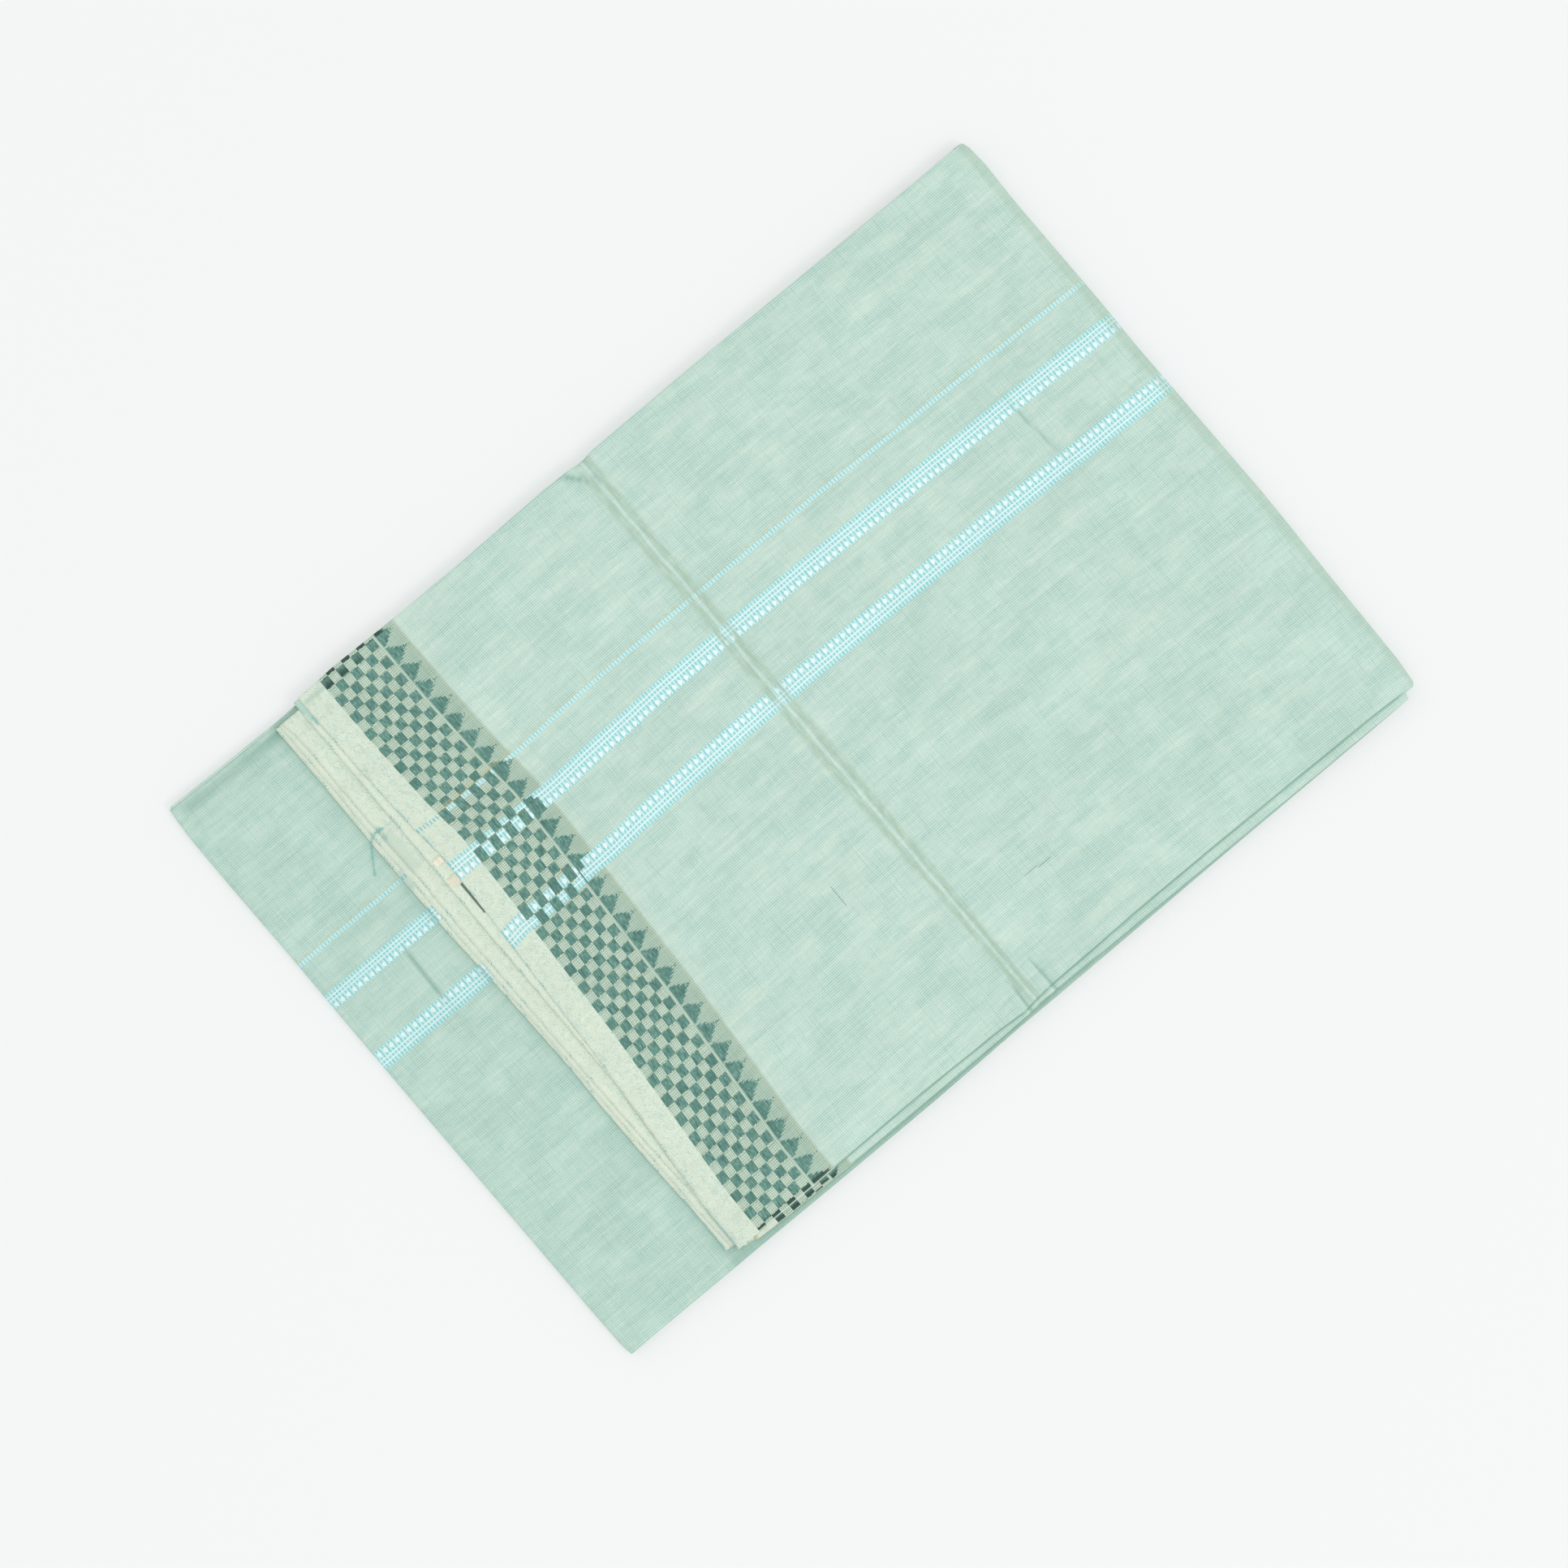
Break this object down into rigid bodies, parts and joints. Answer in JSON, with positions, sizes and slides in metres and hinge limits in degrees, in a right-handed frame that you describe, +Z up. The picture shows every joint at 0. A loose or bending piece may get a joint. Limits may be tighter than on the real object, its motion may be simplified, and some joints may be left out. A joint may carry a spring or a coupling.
{
  "type": "folded dhoti",
  "caption": "Cotton dhoti folded flat in a long pack of stacked plies, sea green with a checked, temple-edged border and striped ends.",
  "frame": {"origin": "on the table, under the middle of the folded pack", "axes": "+X across the cloth from its first selvedge to the first fold, the pack's long side; +Y along the cloth to the half fold; +Z up"},
  "size_m": [0.4508, 0.311, 0.0081],
  "materials": {
    "face_cloth": "slubby plain-woven cotton, matt",
    "selvedge_cloth": "plain-woven cotton, matt, cream at the selvedge",
    "reverse_cloth": "slubby plain-woven cotton, matt",
    "inner_cloth": "plain-woven cotton, matt"
  },
  "bodies": {
    "root": {"top_leaf_face_plies": "face_cloth", "top_leaf_under_plies": "selvedge_cloth", "middle_and_bottom_leaf_plies": "reverse_cloth", "hidden_inner_plies": "inner_cloth"}
  },
  "joints": []
}
